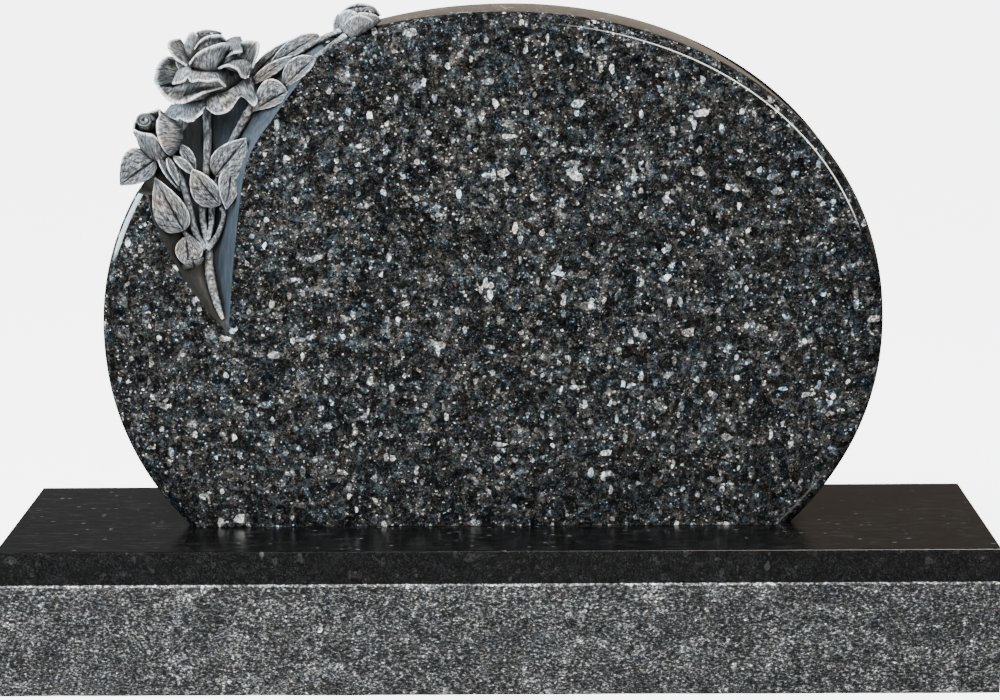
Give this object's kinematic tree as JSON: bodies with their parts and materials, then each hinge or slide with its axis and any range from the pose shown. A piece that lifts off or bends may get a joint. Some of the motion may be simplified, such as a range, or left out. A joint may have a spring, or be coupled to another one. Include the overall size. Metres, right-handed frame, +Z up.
{
  "type": "granite monument",
  "caption": "Oval upright memorial of dark polished granite with a carved rose spray at its upper left, standing on a long base with a rock-faced front.",
  "frame": {"origin": "centre of the base's flat underside", "axes": "+Z up, the carved front faces -Y, +X to the viewer's right along the base"},
  "size_m": [1.3806, 0.3306, 0.9363],
  "materials": {
    "polished_granite": "mirror polished dark blue-grey granite with bright blue-white crystals",
    "carved_granite": "hand-carved and left matte, pale grey on the high places and dark in the hollows",
    "rock_faced_granite": "rock-faced grey body under a polished dark top and margin"
  },
  "bodies": {
    "root": {"headstone": "polished_granite", "base": "rock_faced_granite"}
  },
  "joints": []
}
